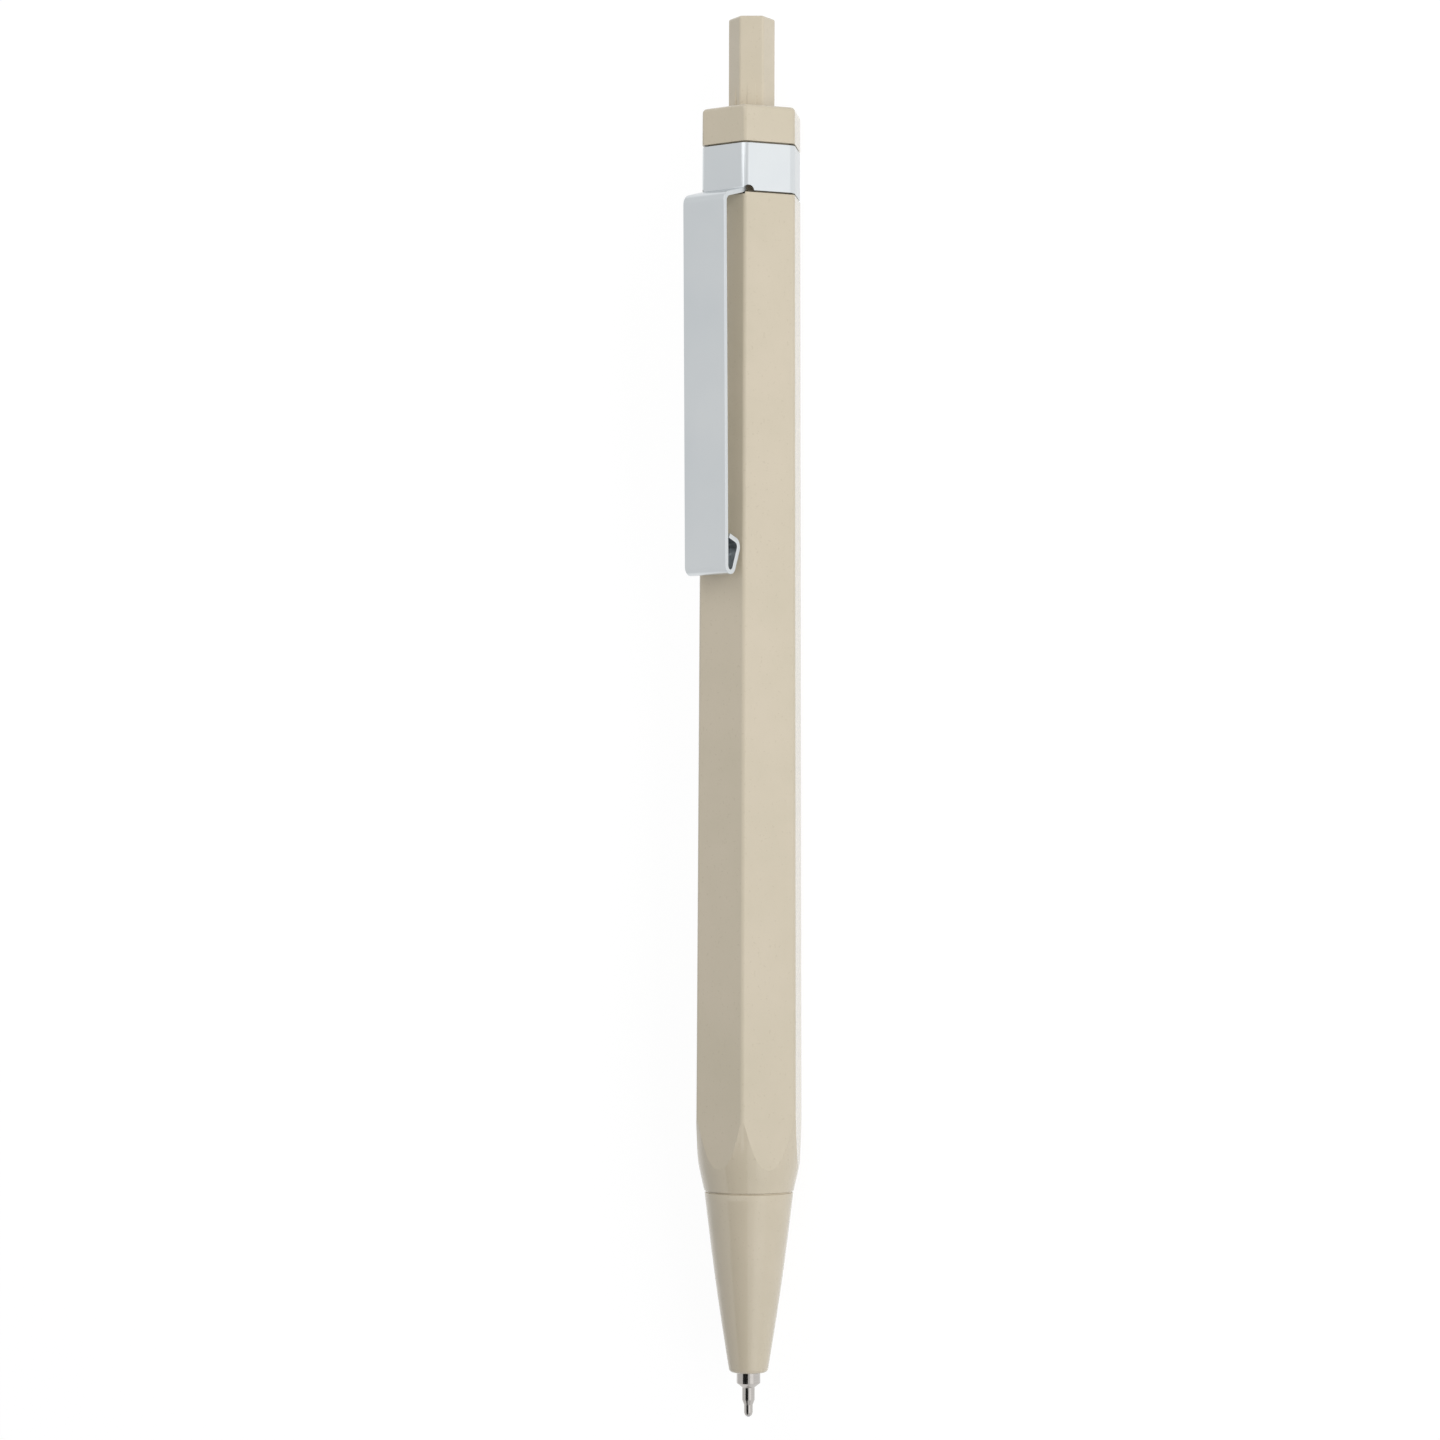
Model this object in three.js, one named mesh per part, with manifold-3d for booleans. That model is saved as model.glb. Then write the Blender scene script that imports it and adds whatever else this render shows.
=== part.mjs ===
// A click-action ballpoint pen with a hexagonal barrel, point out, lying on one flat with its clip on top.
// All sizes are millimetres. Each piece is built upright: z = 0 at the writing ball's foot, +z toward the
// button, +x through the clip. The last lines lay the whole pen along +X.

import * as THREE from "three";
import { mergeVertices } from "three/addons/utils/BufferGeometryUtils.js";
import Module from "manifold-3d";

const wasm = await Module();
wasm.setup();

// Lengths along the pen, from the ball up
const pointOut = 4.45; // point standing out of the nose
const noseLength = 17.9;
const barrelLength = 99.25;
const bandHeight = 4.8;
const capHeight = 3.7;
const buttonOut = 9.45; // button standing out of the cap
const seam = 0.15; // open line between two shells

// Hexagonal section, measured across its flats
const flatsAtCap = 9.3;
const flatsAtNose = 10.0;
const barrelCorner = 0.5; // corner rounding
const capCorner = 0.5;
const bandCorner = 0.95;
const capRim = 0.45; // rounding of the cap's top edge

// Nose and the cone that cuts the barrel's corners
const seamRadius = 4.44; // nose radius where it meets the barrel
const noseEndRadius = 1.98;
const noseEndRounding = 0.4;
const noseBulge = 0.12; // how far the nose's side swells past a straight line, at its middle
const barrelRimSlope = 0.23; // growth of radius per millimetre just above the seam
const barrelRimLength = 2.6;
const barrelConeSlope = 0.13; // growth of radius per millimetre further up
const spigotLength = 8;
const barrelBoreRadius = 3.6;
const ledgeHeight = 7.8; // spring ledge above the nose's mouth

// Clip
const sheet = 0.5; // sheet thickness
const clipWidth = 5.1;
const clipGapTop = 2.75; // inside of the arm to the barrel's flat, at the shoulder
const clipGapFoot = 2.2; // the same at the folded end
const clipReach = 38.3; // band's foot to the folded end
const shoulderUp = 0.27; // shoulder's mid-line above the band's foot
const shoulderDrop = 0.72;
const shoulderBend = 0.85; // mid-line radius
const shoulderRelief = 0.2; // depth of the barrel's recess under the shoulder
const foldRadius = 0.6; // mid-line radius of the fold at the end
const bumpRadius = 0.75; // mid-line radius of the bump
const bumpHeight = 2.5; // bump's peak above the folded end
const bumpClosing = 0.35; // radians that the bump's last stretch rises toward the arm
const notchRadius = 0.55;
const notchTurn = 3.5; // degrees from the corner to the notch's middle

// Button and its mechanism
const buttonFlats = 4.07;
const buttonCorner = 0.25;
const buttonTurn = 30; // degrees from the barrel's flats to the button's
const buttonRim = 0.3;
const buttonRibWidth = 0.85;
const buttonRibHeight = 0.12;
const buttonRibOut = 3.3; // rib above the cap's top
const buttonRoof = 1.5;
const buttonInCap = 8.7; // button below the cap's top
const retractTravel = 5.5;
const pressTravel = 1.2;
const plugLength = 4.1; // cap's plug inside the barrel
const sleeveWall = 0.45;
const landHeight = 0.65; // lands standing in from the sleeve's wall
const landTurn = 32; // degrees that one land covers
const latchCount = 4;
const latchTurn = 12; // degrees that one rotor rib covers
const latchUnder = 3; // degrees of a rotor rib that lie under a land
const latchGap = 0.5;
const latchRibHeight = 4.5;
const guideRibHeight = 1.5;
const guideRibTurn = 24;
const guideRibLift = 2.6; // plunger ribs above the rotor ribs
const rotorSkirt = 3; // rotor below its ribs
const toothCount = 8;
const toothHeight = 0.9;
const toothWidth = 1.1;
const toothLift = 1.0; // rotor's tooth tips above its ribs
const toothInset = 0.11; // tooth's outer face inside its core's
const rootDepth = 0.3; // how far a tooth or rib is rooted in its core
const crownBore = 1.15;
const pinRadius = 0.8;
const pinLength = 3.6;
const stemRadius = 1.2;
const stemLength = 9;
const socketDepth = 5.5;

// Refill
const tubeRadius = 1.55;
const tubeWall = 0.4;
const pointRadius = 1.18;
const lipLevel = 0.15; // lip crimped over the ball
const lipRadius = 0.33;
const needleFoot = 0.45;
const needleTop = 1.2;
const needleRadius = 0.43;
const neckFoot = 1.7;
const neckTop = 2.93;
const neckRadius = 0.625;
const pointShoulder = 3.36; // foot of the point's full width
const pointInNose = 5.3; // collar inside the nose
const pointSpigot = 4.8; // point inside the tube
const ballRadius = 0.3;
const ballGap = 0.035;
const inkBoreRadius = 0.2;
const inkLength = 52;
const greaseLength = 2.5;
const tailPlugLength = 2;
const ventRadius = 0.4;
const collarLevel = 34; // spring collar's foot above the ball
const collarHeight = 1.5;
const collarRadius = 2.25;

// Return spring
const wireRadius = 0.2;
const springRadius = 2.0; // mid-line
const springTurns = 12;
const springEndTurns = 1; // closer turn at each end
const springEndPitch = 0.9;

// Clearances
const pressGap = 0.1; // pieces pressed or pushed together
const mouthGap = 0.14; // point to the nose's mouth
const looseGap = 0.15; // ribs in the sleeve, tube in the rotor
const slideGap = 0.2; // pieces that slide or turn
const touchGap = 0.3; // a face that rests on another
const buttonGap = 0.25; // button to the cap's hole, outside its ribs
const stopGap = 0.4; // left at the ends of a travel

// Levels along the pen that follow from the lengths
const mouth = pointOut;
const noseTop = mouth + noseLength;
const barrelFoot = noseTop + seam;
const barrelTop = barrelFoot + barrelLength;
const bandFoot = barrelTop + seam;
const bandTop = bandFoot + bandHeight;
const capFoot = bandTop + seam;
const capTop = capFoot + capHeight;
const buttonTop = capTop + buttonOut;
const buttonFoot = capTop - buttonInCap;
const plugFoot = barrelTop - plugLength;
const guideTop = plugFoot - pressGap;
const landLength = guideRibLift - latchGap + guideRibHeight + retractTravel + stopGap;
const landFoot = guideTop - landLength;
const latchTop = landFoot - latchGap;
const latchFoot = latchTop - latchRibHeight;
const guideFoot = latchFoot - pressTravel - stopGap;
const guideRibFoot = latchTop + guideRibLift;
const rotorTip = latchTop + toothLift;
const rotorFoot = latchFoot - rotorSkirt;
const plungerTip = rotorTip + slideGap;
const tailTop = rotorFoot + socketDepth - touchGap;
const tubeFoot = mouth + pointInNose + pressGap;
const ledge = mouth + ledgeHeight;

// Radii that follow
const sleeveRadius = barrelBoreRadius - pressGap;
const sleeveBore = sleeveRadius - sleeveWall;
const landRadius = sleeveBore - landHeight;
const coreRadius = landRadius - slideGap;
const ribRadius = sleeveBore - looseGap;
const buttonHole = buttonFlats / 2 + buttonGap;
const plungerRadius = buttonHole - touchGap;
const tubeBore = tubeRadius - tubeWall;
const springBore = springRadius + wireRadius + slideGap;
const inkRadius = tubeBore - pressGap / 2;
const taper = (flatsAtNose - flatsAtCap) / 2 / (capTop - noseTop);
const rimTop = barrelFoot + barrelRimLength;
const rimTopRadius = seamRadius + (rimTop - noseTop) * barrelRimSlope;
const rimCut = (flatAt(0) - seamRadius + noseTop * barrelRimSlope) / (barrelRimSlope + taper);
const coneCut = (flatAt(0) - rimTopRadius + rimTop * barrelConeSlope) / (barrelConeSlope + taper);
const cutLevel = rimCut < rimTop ? rimCut : coneCut;
const restHeight = flatAt(cutLevel); // the flats are widest where the cone cuts them

// Fineness of the faceted surfaces
const segments = 40; // sides of a turned piece
const smallSegments = 24;
const coneSides = 72; // sides of the cone that cuts the barrel
const cornerSteps = 2; // faces of a rounded hexagon corner
const sectorSteps = 6;
const bendSteps = 4;
const bulgeSteps = 6; // faces along the nose's side
const loopSteps = 6; // faces of the clip's fold and of its bump
const ballSides = 16;
const ballRings = 12;
const wireSides = 6;
const stepsPerTurn = 14;
const over = 1; // how far a cutter runs past the face it cuts
const fuse = 0.5; // how far two joined shapes run into each other
const degree = Math.PI / 180;

const plastic = new THREE.MeshStandardMaterial({ color: 0xd6cab6, roughness: 0.55, metalness: 0 });
const metal = new THREE.MeshStandardMaterial({ color: 0xd4d6d7, roughness: 0.28, metalness: 1 });
const pointSteel = new THREE.MeshStandardMaterial({ color: 0xc4c2be, roughness: 0.22, metalness: 1 });
const innerWhite = new THREE.MeshStandardMaterial({ color: 0xe9e7e0, roughness: 0.5, metalness: 0 });
const tubeClear = new THREE.MeshStandardMaterial({ color: 0xe6e9ea, roughness: 0.35, metalness: 0 });
const inkBlue = new THREE.MeshStandardMaterial({ color: 0x1b2a6b, roughness: 0.3, metalness: 0 });
const grease = new THREE.MeshStandardMaterial({ color: 0xd9d3bd, roughness: 0.4, metalness: 0 });
const springSteel = new THREE.MeshStandardMaterial({ color: 0xb9bcc0, roughness: 0.3, metalness: 1 });

// Half the width across the flats at a level, the same on barrel, band and cap
function flatAt(z) {
  return flatsAtCap / 2 + (capTop - z) * taper;
}

// Signed volume, positive when the faces point out
function volumeOf(position, index) {
  const a = new THREE.Vector3();
  const b = new THREE.Vector3();
  const c = new THREE.Vector3();
  let sum = 0;
  for (let i = 0; i < index.length; i += 3) {
    a.fromArray(position, index[i] * 3);
    b.fromArray(position, index[i + 1] * 3);
    c.fromArray(position, index[i + 2] * 3);
    sum += a.dot(b.cross(c)) / 6;
  }
  return sum;
}

// Closed geometry as a solid for cutting and joining
function solidOf(geometry) {
  const bare = geometry.clone();
  bare.deleteAttribute("normal");
  bare.deleteAttribute("uv");
  const welded = mergeVertices(bare, 1e-5);
  const position = welded.attributes.position.array;
  const kept = [];
  const index = welded.index.array;
  for (let i = 0; i < index.length; i += 3) {
    const [a, b, c] = [index[i], index[i + 1], index[i + 2]];
    if (a !== b && b !== c && c !== a) kept.push(a, b, c);
  }
  if (volumeOf(position, kept) < 0) kept.reverse();
  const triVerts = new Uint32Array(kept);
  return new wasm.Manifold(new wasm.Mesh({ numProp: 3, vertProperties: position, triVerts }));
}

function geometryOf(solid) {
  const cut = solid.getMesh();
  const geometry = new THREE.BufferGeometry();
  geometry.setAttribute("position", new THREE.BufferAttribute(cut.vertProperties, 3));
  geometry.setIndex(new THREE.BufferAttribute(cut.triVerts, 1));
  const flat = geometry.toNonIndexed();
  flat.computeVertexNormals();
  return flat;
}

function piece(name, solid, material) {
  const mesh = new THREE.Mesh(geometryOf(solid), material);
  mesh.name = name;
  return mesh;
}

// Turned solid from [radius, level] corners, anticlockwise with the axis on the left
function turned(corners, sides = segments) {
  const closed = [...corners, corners[0]].map(([r, z]) => new THREE.Vector2(r, z));
  return solidOf(new THREE.LatheGeometry(closed, sides).rotateX(Math.PI / 2));
}

function rod(radius, from, to, sides = segments) {
  return turned([[0, from], [radius, from], [radius, to], [0, to]], sides);
}

function ring(inner, outer, from, to, sides = segments) {
  return turned([[inner, from], [outer, from], [outer, to], [inner, to]], sides);
}

// Hexagon outline with rounded corners; its flats face turn, turn + 60 and so on, in degrees
function hexagon(flat, corner, turn = 0) {
  const outline = new THREE.Shape();
  const reach = (flat - corner) / Math.cos(30 * degree);
  for (let i = 0; i < 6; i += 1) {
    const at = (turn + 30 + i * 60) * degree;
    const centre = new THREE.Vector2(reach * Math.cos(at), reach * Math.sin(at));
    outline.absarc(centre.x, centre.y, corner, at - 30 * degree, at + 30 * degree, false);
  }
  outline.closePath();
  return outline;
}

function prism(outline, from, to, curveSegments = cornerSteps + 1) {
  const options = { depth: to - from, bevelEnabled: false, curveSegments };
  return new THREE.ExtrudeGeometry(outline, options).translate(0, 0, from);
}

// Hexagonal solid through [level, half the flats] sections; the first section sets the corner rounding
function hexagonAlong(sections, corner, turn = 0) {
  const base = sections[0][1];
  const steps = sections.length - 1;
  const options = { depth: steps, steps, bevelEnabled: false, curveSegments: cornerSteps };
  const geometry = new THREE.ExtrudeGeometry(hexagon(base, corner, turn), options);
  const position = geometry.attributes.position;
  for (let i = 0; i < position.count; i += 1) {
    const [level, flat] = sections[Math.round(position.getZ(i))];
    const scale = flat / base;
    position.setXYZ(i, position.getX(i) * scale, position.getY(i) * scale, level);
  }
  return solidOf(geometry);
}

// Hexagonal solid that follows the barrel's taper; inset moves its faces in from the flats
function taperedHexagon(from, to, corner, inset = 0) {
  return hexagonAlong([[from, flatAt(from) - inset], [to, flatAt(to) - inset]], corner);
}

// Sections of a rounded top edge
function rimSections(flat, rim, top) {
  return [0, 30, 60, 90].map((turn) => {
    const at = turn * degree;
    return [top - rim * (1 - Math.sin(at)), flat - rim * (1 - Math.cos(at))];
  });
}

// Solid sector of a ring between two radii, centred on an angle in degrees
function sector(inner, outer, turn, middle, from, to) {
  const outline = new THREE.Shape();
  const half = (turn / 2) * degree;
  const at = middle * degree;
  outline.absarc(0, 0, outer, at - half, at + half, false);
  outline.absarc(0, 0, inner, at + half, at - half, true);
  outline.closePath();
  return solidOf(prism(outline, from, to, sectorSteps));
}

// Teeth of a crown, rooted at a level and pointing up (+1) or down (-1)
function crownTeeth(root, direction) {
  const outline = new THREE.Shape();
  outline.moveTo(-toothWidth / 2, root - direction * rootDepth);
  outline.lineTo(toothWidth / 2, root - direction * rootDepth);
  outline.lineTo(toothWidth / 2, root);
  outline.lineTo(0, root + direction * toothHeight);
  outline.lineTo(-toothWidth / 2, root);
  outline.closePath();
  const depth = coreRadius - crownBore;
  const options = { depth, bevelEnabled: false };
  const teeth = [];
  for (let i = 0; i < toothCount; i += 1) {
    const tooth = new THREE.ExtrudeGeometry(outline, options).rotateX(Math.PI / 2);
    tooth.translate(0, coreRadius - toothInset, 0).rotateZ(((i * 360) / toothCount) * degree);
    teeth.push(solidOf(tooth));
  }
  return teeth;
}

function joined(solids) {
  return solids.reduce((whole, next) => whole.add(next));
}

// Outline of a bent sheet from its mid-line points
function sheetOutline(line) {
  const left = [];
  const right = [];
  line.forEach((point, i) => {
    const before = line[Math.max(i - 1, 0)];
    const after = line[Math.min(i + 1, line.length - 1)];
    const into = i > 0 ? point.clone().sub(before).normalize() : after.clone().sub(point).normalize();
    const out = i < line.length - 1 ? after.clone().sub(point).normalize() : into.clone();
    const along = into.clone().add(out).normalize();
    const side = new THREE.Vector2(-along.y, along.x).multiplyScalar(sheet / 2 / along.dot(into));
    left.push(point.clone().add(side));
    right.unshift(point.clone().sub(side));
  });
  return new THREE.Shape([...left, ...right]);
}

// Bent sheet across the pen's width, from mid-line points in the x-z plane
function bentSheet(line, width) {
  const geometry = new THREE.ExtrudeGeometry(sheetOutline(line), { depth: width, bevelEnabled: false });
  return solidOf(geometry.rotateX(Math.PI / 2).translate(0, width / 2, 0));
}

function buildBarrel() {
  const hexagonal = taperedHexagon(barrelFoot, barrelTop, barrelCorner);
  const widest = flatsAtNose;
  const cutterFoot = barrelFoot - over;
  const footRadius = seamRadius + (cutterFoot - noseTop) * barrelRimSlope;
  const coneTop = rimTop + (widest - rimTopRadius) / barrelConeSlope;
  const cone = turned(
    [[0, cutterFoot], [footRadius, cutterFoot], [rimTopRadius, rimTop], [widest, coneTop],
      [widest, barrelTop + over], [0, barrelTop + over]],
    coneSides,
  );
  const bore = rod(barrelBoreRadius, barrelFoot - over, barrelTop + over);
  const outer = flatAt(barrelTop);
  const width = clipWidth + slideGap;
  const relief = new THREE.BoxGeometry(outer, width, over + shoulderRelief);
  relief.translate(outer * 1.5 - sheet - slideGap, 0, barrelTop + (over - shoulderRelief) / 2);
  return hexagonal.intersect(cone).subtract(bore).subtract(solidOf(relief));
}

function buildNoseCone() {
  const guideRadius = tubeRadius + slideGap;
  const mouthRadius = pointRadius + mouthGap;
  const guideLevel = tubeFoot - pressTravel - stopGap;
  const spigotRadius = barrelBoreRadius - pressGap;
  const spigotTop = noseTop + spigotLength;
  const corners = [[mouthRadius, mouth]];
  for (let i = 0; i <= bendSteps; i += 1) {
    const at = (i / bendSteps) * 90 * degree;
    const out = noseEndRadius - noseEndRounding * (1 - Math.sin(at));
    corners.push([out, mouth + noseEndRounding * (1 - Math.cos(at))]);
  }
  const sideFoot = mouth + noseEndRounding;
  for (let i = 1; i < bulgeSteps; i += 1) {
    const share = i / bulgeSteps;
    const straight = noseEndRadius + (seamRadius - noseEndRadius) * share;
    const out = straight + noseBulge * Math.sin(share * Math.PI);
    corners.push([out, sideFoot + (noseTop - sideFoot) * share]);
  }
  corners.push(
    [seamRadius, noseTop],
    [spigotRadius, noseTop],
    [spigotRadius, spigotTop],
    [springBore, spigotTop],
    [springBore, ledge],
    [guideRadius, ledge],
    [guideRadius, guideLevel],
    [mouthRadius, guideLevel],
  );
  return turned(corners);
}

function buildTopCap() {
  const sections = [[capFoot, flatAt(capFoot)], ...rimSections(flatAt(capTop), capRim, capTop)];
  const collar = hexagonAlong(sections, capCorner);
  const neckTopLevel = capFoot + fuse;
  const neck = taperedHexagon(barrelTop - pressGap, neckTopLevel, bandCorner - sheet, sheet + slideGap);
  const plug = rod(barrelBoreRadius - pressGap, plugFoot, barrelTop + fuse);
  const holeOutline = hexagon(buttonHole, buttonCorner, buttonTurn);
  const hole = solidOf(prism(holeOutline, plugFoot - over, capTop + over));
  const neckCut = ring(barrelBoreRadius - pressGap, flatsAtNose, barrelTop - over, barrelTop + pressGap);
  return collar.add(neck.subtract(neckCut)).add(plug).subtract(hole);
}

// The clip's mid-line: shoulder from the band, then the arm with its folded end, both in the x-z plane
const shoulderStart = new THREE.Vector2(flatAt(bandFoot) - sheet / 2, bandFoot + shoulderUp);
const armTop = new THREE.Vector2(
  flatAt(bandFoot) + clipGapTop + sheet / 2,
  shoulderStart.y - shoulderDrop - shoulderBend,
);
const foldLevel = bandFoot - clipReach + sheet / 2;
const armFootX = flatAt(foldLevel) + clipGapFoot + sheet / 2;

function shoulderLine() {
  const bendStart = armLine()[0];
  const out = bendStart.clone().sub(shoulderStart);
  return [
    new THREE.Vector2(shoulderStart.x, shoulderStart.y + sheet),
    shoulderStart,
    shoulderStart.clone().add(out.clone().setLength(out.length() - touchGap)),
  ];
}

function onArc(centre, radius, at) {
  return new THREE.Vector2(centre.x + radius * Math.cos(at), centre.y + radius * Math.sin(at));
}

function armLine() {
  const points = [];
  const bend = new THREE.Vector2(armTop.x - shoulderBend, armTop.y);
  const slope = Math.atan2(shoulderDrop, clipGapTop);
  for (let i = 0; i <= bendSteps; i += 1) {
    const at = (90 * degree - slope) * (1 - i / bendSteps);
    points.push(onArc(bend, shoulderBend, at));
  }
  const fold = new THREE.Vector2(armFootX - foldRadius, foldLevel + foldRadius);
  const peakX = flatAt(foldLevel + bumpHeight) + touchGap + sheet / 2 + bumpRadius;
  const bump = new THREE.Vector2(peakX, foldLevel + bumpHeight);
  const between = bump.clone().sub(fold);
  const tangent = between.angle() + Math.acos((foldRadius - bumpRadius) / between.length());
  const foldSweep = tangent - 360 * degree;
  for (let i = 0; i <= loopSteps; i += 1) {
    points.push(onArc(fold, foldRadius, (i / loopSteps) * foldSweep));
  }
  const last = 90 * degree + bumpClosing;
  for (let i = 0; i <= loopSteps; i += 1) {
    points.push(onArc(bump, bumpRadius, tangent + (i / loopSteps) * (last - tangent)));
  }
  const end = points[points.length - 1];
  const room = armFootX - (sheet / 2) * (1 + Math.sin(bumpClosing)) - pressGap - end.x;
  points.push(new THREE.Vector2(end.x + room, end.y + room * Math.tan(bumpClosing)));
  return points;
}

function buildClipBand() {
  const outer = taperedHexagon(bandFoot, bandTop, bandCorner);
  const inner = taperedHexagon(bandFoot - over, bandTop + over, bandCorner - sheet, sheet);
  const tab = bentSheet(shoulderLine(), clipWidth);
  const notches = [-1, 1].map((side) => {
    const notch = rod(notchRadius, 0, flatsAtCap, smallSegments);
    return notch.rotate([0, 90, side * (30 + notchTurn)]).translate([0, 0, bandFoot]);
  });
  return outer.subtract(inner).add(tab).subtract(joined(notches));
}

function buildClipArm() {
  return bentSheet(armLine(), clipWidth);
}

function buildPushButton() {
  const flat = buttonFlats / 2;
  const sections = [[buttonFoot, flat], ...rimSections(flat, buttonRim, buttonTop)];
  const outer = hexagonAlong(sections, buttonCorner, buttonTurn);
  const socket = rod(stemRadius + pressGap, buttonFoot - over, buttonTop - buttonRoof, smallSegments);
  const ribs = [-buttonTurn, buttonTurn].map((turn) => {
    const height = capTop + buttonRibOut - buttonFoot;
    const rib = new THREE.BoxGeometry(buttonRibHeight * 2, buttonRibWidth, height);
    rib.translate(flat, 0, buttonFoot + height / 2).rotateZ(turn * degree);
    return solidOf(rib);
  });
  return outer.add(joined(ribs)).subtract(socket);
}

function buildPlunger() {
  const root = plungerTip + toothHeight;
  const crown = rod(coreRadius, root, guideRibFoot + guideRibHeight);
  const body = rod(plungerRadius, root, buttonFoot - pressGap);
  const stem = rod(stemRadius, buttonFoot - over, buttonFoot + stemLength, smallSegments);
  const ribs = [];
  for (let i = 0; i < latchCount; i += 1) {
    const middle = 360 / latchCount / 2 + (i * 360) / latchCount;
    const top = guideRibFoot + guideRibHeight;
    ribs.push(sector(coreRadius - rootDepth, ribRadius, guideRibTurn, middle, guideRibFoot, top));
  }
  const pinBoreTop = rotorTip + pinLength + stopGap;
  const pinBore = rod(pinRadius + slideGap, plungerTip - over, pinBoreTop, smallSegments);
  return joined([crown, body, stem, ...ribs, ...crownTeeth(root, -1)]).subtract(pinBore);
}

function buildCamGuide() {
  const lands = [];
  for (let i = 0; i < latchCount; i += 1) {
    const middle = (i * 360) / latchCount;
    lands.push(sector(landRadius, sleeveBore + sleeveWall / 2, landTurn, middle, landFoot, guideTop));
  }
  return joined([ring(sleeveBore, sleeveRadius, guideFoot, guideTop), ...lands]);
}

function buildRotor() {
  const root = rotorTip - toothHeight;
  const core = rod(coreRadius, rotorFoot, root);
  const pin = rod(pinRadius, root - over, rotorTip + pinLength, smallSegments);
  const ribs = [];
  for (let i = 0; i < latchCount; i += 1) {
    const middle = landTurn / 2 - latchUnder + latchTurn / 2 + (i * 360) / latchCount;
    ribs.push(sector(coreRadius - rootDepth, ribRadius, latchTurn, middle, latchFoot, latchTop));
  }
  const socket = rod(tubeRadius + looseGap, rotorFoot - over, rotorFoot + socketDepth);
  return joined([core, pin, ...ribs, ...crownTeeth(root, 1)]).subtract(socket);
}

function buildRefillTube() {
  return ring(tubeBore, tubeRadius, tubeFoot, tailTop);
}

function buildPointBody() {
  const spigotTop = tubeFoot + pointSpigot;
  const socket = ballRadius + ballGap;
  return turned(
    [
      [ballRadius - ballGap / 3, lipLevel],
      [lipRadius, lipLevel],
      [needleRadius, needleFoot],
      [needleRadius, needleTop],
      [neckRadius, neckFoot],
      [neckRadius, neckTop],
      [pointRadius, pointShoulder],
      [pointRadius, tubeFoot - pressGap],
      [tubeBore - pressGap, tubeFoot - pressGap],
      [tubeBore - pressGap, spigotTop],
      [inkBoreRadius, spigotTop],
      [inkBoreRadius, ballRadius * 2 + ballGap * 2],
      [socket, ballRadius + ballGap * 2],
      [socket, ballRadius - ballGap],
    ],
    smallSegments,
  );
}

function buildWritingBall() {
  return solidOf(new THREE.SphereGeometry(ballRadius, ballSides, ballRings).translate(0, 0, ballRadius));
}

const inkFoot = tubeFoot + pointSpigot + pressGap;
const greaseFoot = inkFoot + inkLength + pressGap;

function buildTailPlug() {
  const foot = tailTop - tailPlugLength;
  return ring(ventRadius, tubeBore - pressGap, foot, tailTop, smallSegments);
}

function buildSpringCollar() {
  return ring(tubeRadius + pressGap, collarRadius, collarLevel, collarLevel + collarHeight);
}

// Helix with a closer turn at each end
class Coil extends THREE.Curve {
  constructor(foot, top) {
    super();
    this.foot = foot;
    this.top = top;
  }

  levelAt(turn) {
    const open = springTurns - 2 * springEndTurns;
    const pitch = (this.top - this.foot - 2 * springEndTurns * springEndPitch) / open;
    if (turn < springEndTurns) return this.foot + turn * springEndPitch;
    const past = Math.max(turn - springTurns + springEndTurns, 0);
    const free = turn - springEndTurns - past;
    return this.foot + springEndTurns * springEndPitch + free * pitch + past * springEndPitch;
  }

  getPoint(t, target = new THREE.Vector3()) {
    const turn = t * springTurns;
    const at = turn * 2 * Math.PI;
    return target.set(springRadius * Math.cos(at), springRadius * Math.sin(at), this.levelAt(turn));
  }
}

function buildReturnSpring() {
  const path = new Coil(ledge + touchGap + wireRadius, collarLevel - touchGap - wireRadius);
  const section = new THREE.Shape();
  section.absarc(0, 0, wireRadius, 0, 2 * Math.PI, false);
  const options = { steps: springTurns * stepsPerTurn, extrudePath: path, curveSegments: wireSides / 2 };
  return solidOf(new THREE.ExtrudeGeometry(section, options));
}

const pen = new THREE.Group();
pen.add(
  piece("barrel", buildBarrel(), plastic),
  piece("nose_cone", buildNoseCone(), plastic),
  piece("top_cap", buildTopCap(), plastic),
  piece("clip_band", buildClipBand(), metal),
  piece("clip_arm", buildClipArm(), metal),
  piece("push_button", buildPushButton(), plastic),
  piece("plunger", buildPlunger(), innerWhite),
  piece("cam_guide", buildCamGuide(), innerWhite),
  piece("rotor", buildRotor(), innerWhite),
  piece("return_spring", buildReturnSpring(), springSteel),
  piece("refill_tube", buildRefillTube(), tubeClear),
  piece("spring_collar", buildSpringCollar(), innerWhite),
  piece("point_body", buildPointBody(), pointSteel),
  piece("writing_ball", buildWritingBall(), pointSteel),
  piece("ink_column", rod(inkRadius, inkFoot, inkFoot + inkLength, smallSegments), inkBlue),
  piece("grease_plug", rod(inkRadius, greaseFoot, greaseFoot + greaseLength, smallSegments), grease),
  piece("tail_plug", buildTailPlug(), innerWhite),
);

// Lay the pen down: its length along +X, clip up, resting on the flat opposite the clip
const laid = new THREE.Group();
laid.quaternion.setFromAxisAngle(new THREE.Vector3(1, 0, 1).normalize(), Math.PI);
laid.position.set(-buttonTop / 2, 0, restHeight);
laid.add(pen);

export default laid;
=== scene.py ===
# A click-action ballpoint pen: beige moulded hexagonal barrel, conical nose, bent nickel clip.
# The pen lies along X with its point at the low end and its clip on top. Everything is in metres.
import math

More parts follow.
